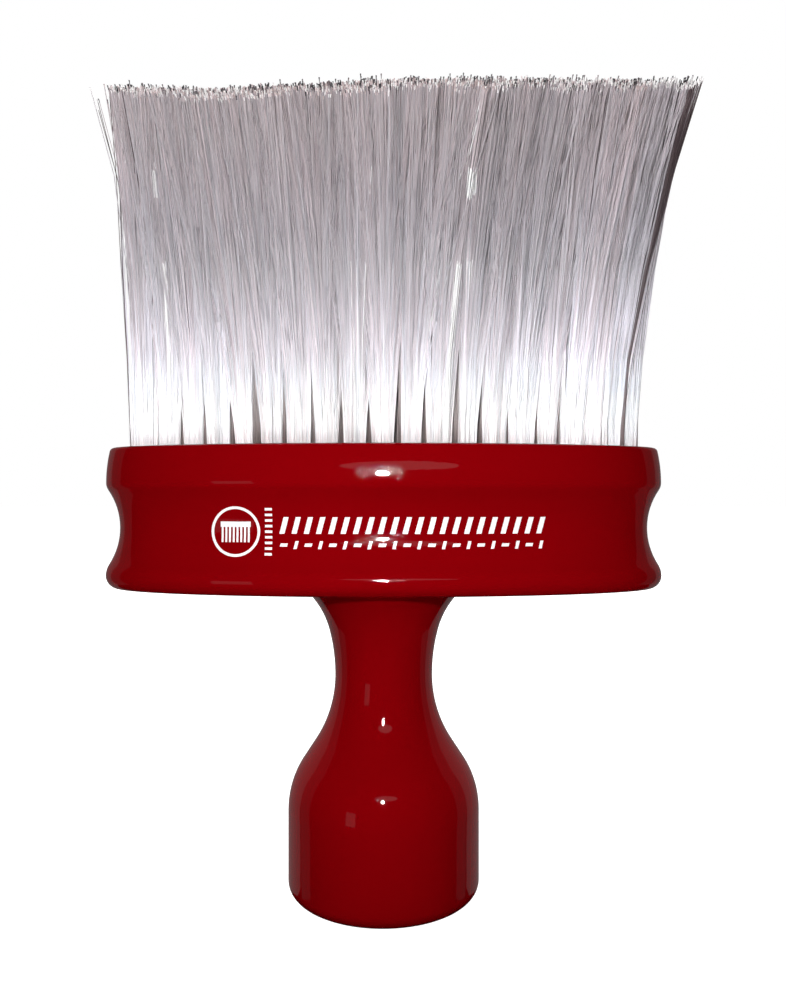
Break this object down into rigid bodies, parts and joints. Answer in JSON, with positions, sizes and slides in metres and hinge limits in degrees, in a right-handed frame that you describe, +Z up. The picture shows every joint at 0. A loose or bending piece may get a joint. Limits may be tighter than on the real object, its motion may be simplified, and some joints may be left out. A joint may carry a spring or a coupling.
{
  "type": "neck duster brush",
  "caption": "Barber's neck duster: an oval lacquered wooden head on a short turned handle with a flat base, filled with long soft nylon tufts.",
  "frame": {"origin": "centre of the handle's flat base", "axes": "+Z up from the base to the bristle tips, X along the oval head, front of the brush faces -Y"},
  "size_m": [0.1308, 0.0492, 0.178],
  "materials": {
    "lacquered_wood": "high gloss red lacquer",
    "nylon": "translucent white filament",
    "print_ink": "white screen print",
    "steel": "plain drawn steel"
  },
  "bodies": {
    "root": {"head_block": "lacquered_wood", "handle": "lacquered_wood", "dowel_screw": "steel", "tufts_outer_front": "nylon", "tufts_outer_back": "nylon", "tufts_second_front": "nylon", "tufts_second_back": "nylon", "tufts_third_front": "nylon", "tufts_third_back": "nylon", "tufts_centre_row": "nylon", "anchors_outer_front": "steel", "anchors_outer_back": "steel", "anchors_second_front": "steel", "anchors_second_back": "steel", "anchors_third_front": "steel", "anchors_third_back": "steel", "anchors_centre_row": "steel"}
  },
  "joints": []
}
